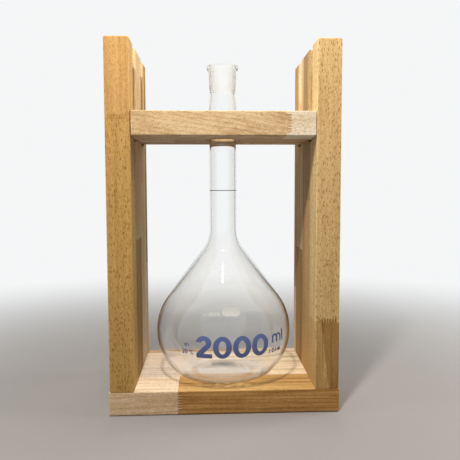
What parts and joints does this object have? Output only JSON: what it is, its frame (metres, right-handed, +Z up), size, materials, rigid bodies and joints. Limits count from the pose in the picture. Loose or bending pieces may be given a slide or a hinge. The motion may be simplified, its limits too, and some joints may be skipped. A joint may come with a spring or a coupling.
{
  "type": "volumetric flask in a wooden stand",
  "caption": "Pear-shaped volumetric flask with a ground socket, standing in a finger-jointed wooden stand whose slotted shelf lifts out.",
  "frame": {"origin": "on the ground, under the middle of the object's box", "axes": "+Z up along the flask's axis, -Y towards the front with the large number, +X to the right"},
  "size_m": [0.259, 0.1775, 0.415],
  "materials": {
    "beech_pale": "oiled, edge-glued finger-jointed beech",
    "beech_golden": "oiled, edge-glued finger-jointed beech",
    "beech_brown": "oiled, edge-glued finger-jointed beech",
    "clear_glass": "clear, smooth",
    "ground_glass": "ground matt inside, clear rim",
    "blue_enamel": "fired enamel print",
    "white_enamel": "fired matt enamel",
    "zinc_steel": "zinc-plated"
  },
  "bodies": {
    "stand": {"base_stave_1_left": "beech_pale", "base_stave_1_right": "beech_golden", "base_stave_2_left": "beech_pale", "base_stave_2_right": "beech_pale", "base_stave_3_left": "beech_pale", "base_stave_3_right": "beech_pale", "base_stave_4_left": "beech_golden", "base_stave_4_right": "beech_pale", "left_panel_screws": "zinc_steel", "left_panel_stave_1_lower": "beech_golden", "left_panel_stave_1_upper": "beech_golden", "left_panel_stave_2_lower": "beech_brown", "left_panel_stave_2_upper": "beech_golden", "left_panel_stave_3_lower": "beech_pale", "left_panel_stave_3_upper": "beech_golden", "left_panel_stave_4_lower": "beech_golden", "left_panel_stave_4_upper": "beech_brown", "right_panel_screws": "zinc_steel", "right_panel_stave_1_lower": "beech_brown", "right_panel_stave_1_upper": "beech_golden", "right_panel_stave_2_lower": "beech_golden", "right_panel_stave_2_upper": "beech_brown", "right_panel_stave_3_lower": "beech_brown", "right_panel_stave_3_upper": "beech_golden", "right_panel_stave_4_lower": "beech_pale", "right_panel_stave_4_upper": "beech_golden"},
    "shelf": {"shelf_stave_1_left": "beech_golden", "shelf_stave_1_right": "beech_pale", "shelf_stave_2_left": "beech_pale", "shelf_stave_2_right": "beech_golden", "shelf_stave_3_left": "beech_brown", "shelf_stave_3_right": "beech_golden"},
    "flask": {"flask_bulb": "clear_glass", "flask_neck": "clear_glass", "flask_socket": "ground_glass", "ring_mark": "blue_enamel", "writing_spot": "white_enamel"}
  },
  "joints": [
    {"name": "shelf_lift", "type": "slide", "parent": "stand", "child": "shelf", "axis": [0, 0, 1], "range_m": [0, 0.12]},
    {"name": "flask_lift", "type": "slide", "parent": "stand", "child": "flask", "axis": [0, 0, 1], "range_m": [0, 0.115]}
  ]
}
